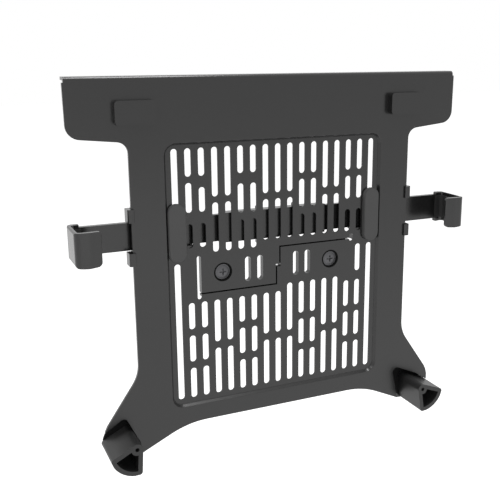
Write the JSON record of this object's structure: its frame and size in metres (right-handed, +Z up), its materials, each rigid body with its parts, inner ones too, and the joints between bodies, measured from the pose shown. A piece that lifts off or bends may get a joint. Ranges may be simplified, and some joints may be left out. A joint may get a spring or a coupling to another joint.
{
  "type": "notebook tray",
  "caption": "Slotted moulded notebook tray for a monitor arm, with sliding side arms that hook round a laptop's edges, swivelling lower feet and two rear bolts.",
  "frame": {"origin": "on the mounting face behind the tray, halfway between the two mount screws", "axes": "+X to the right seen from the front, +Y to the rear along the mount screws, +Z up; the tray faces -Y"},
  "size_m": [0.3456, 0.049, 0.3104],
  "materials": {
    "panel_plastic": "satin, fine moulded texture",
    "arm_plastic": "satin",
    "foot_plastic": "satin",
    "grip_rubber": "matt",
    "hook_lining": "matt",
    "screw_steel": "dark plated",
    "spring_steel": "bright",
    "washer_nylon": "satin"
  },
  "bodies": {
    "tray": {"tray": "panel_plastic", "left_guide": "arm_plastic", "right_guide": "arm_plastic", "left_leaf_spring": "spring_steel", "right_leaf_spring": "spring_steel", "arm_sleeve": "arm_plastic", "left_grip_pad": "grip_rubber", "right_grip_pad": "grip_rubber", "left_mount_screw": "screw_steel", "right_mount_screw": "screw_steel", "left_keeper": "washer_nylon", "right_keeper": "washer_nylon", "left_foot_washer": "spring_steel", "right_foot_washer": "spring_steel", "guide_screws": "screw_steel", "sleeve_screws": "screw_steel"},
    "left_arm": {"left_arm": "arm_plastic", "left_hook_pad": "hook_lining"},
    "right_arm": {"right_arm": "arm_plastic", "right_hook_pad": "hook_lining"},
    "left_foot": {"left_foot": "foot_plastic", "left_foot_screw": "screw_steel"},
    "right_foot": {"right_foot": "foot_plastic", "right_foot_screw": "screw_steel"}
  },
  "joints": [
    {"name": "left_arm_slide", "type": "slide", "parent": "tray", "child": "left_arm", "axis": [-1, 0, 0], "range_m": [-0.038, 0.037]},
    {"name": "right_arm_slide", "type": "slide", "parent": "tray", "child": "right_arm", "axis": [1, 0, 0], "range_m": [-0.038, 0.037]},
    {"name": "left_foot_swivel", "type": "hinge", "parent": "tray", "child": "left_foot", "pos_m": [-0.1353, 0, -0.129], "axis": [0, 1, 0], "range_deg": [-17, 32]},
    {"name": "right_foot_swivel", "type": "hinge", "parent": "tray", "child": "right_foot", "pos_m": [0.1353, 0, -0.129], "axis": [0, 1, 0], "range_deg": [0, 28]}
  ]
}
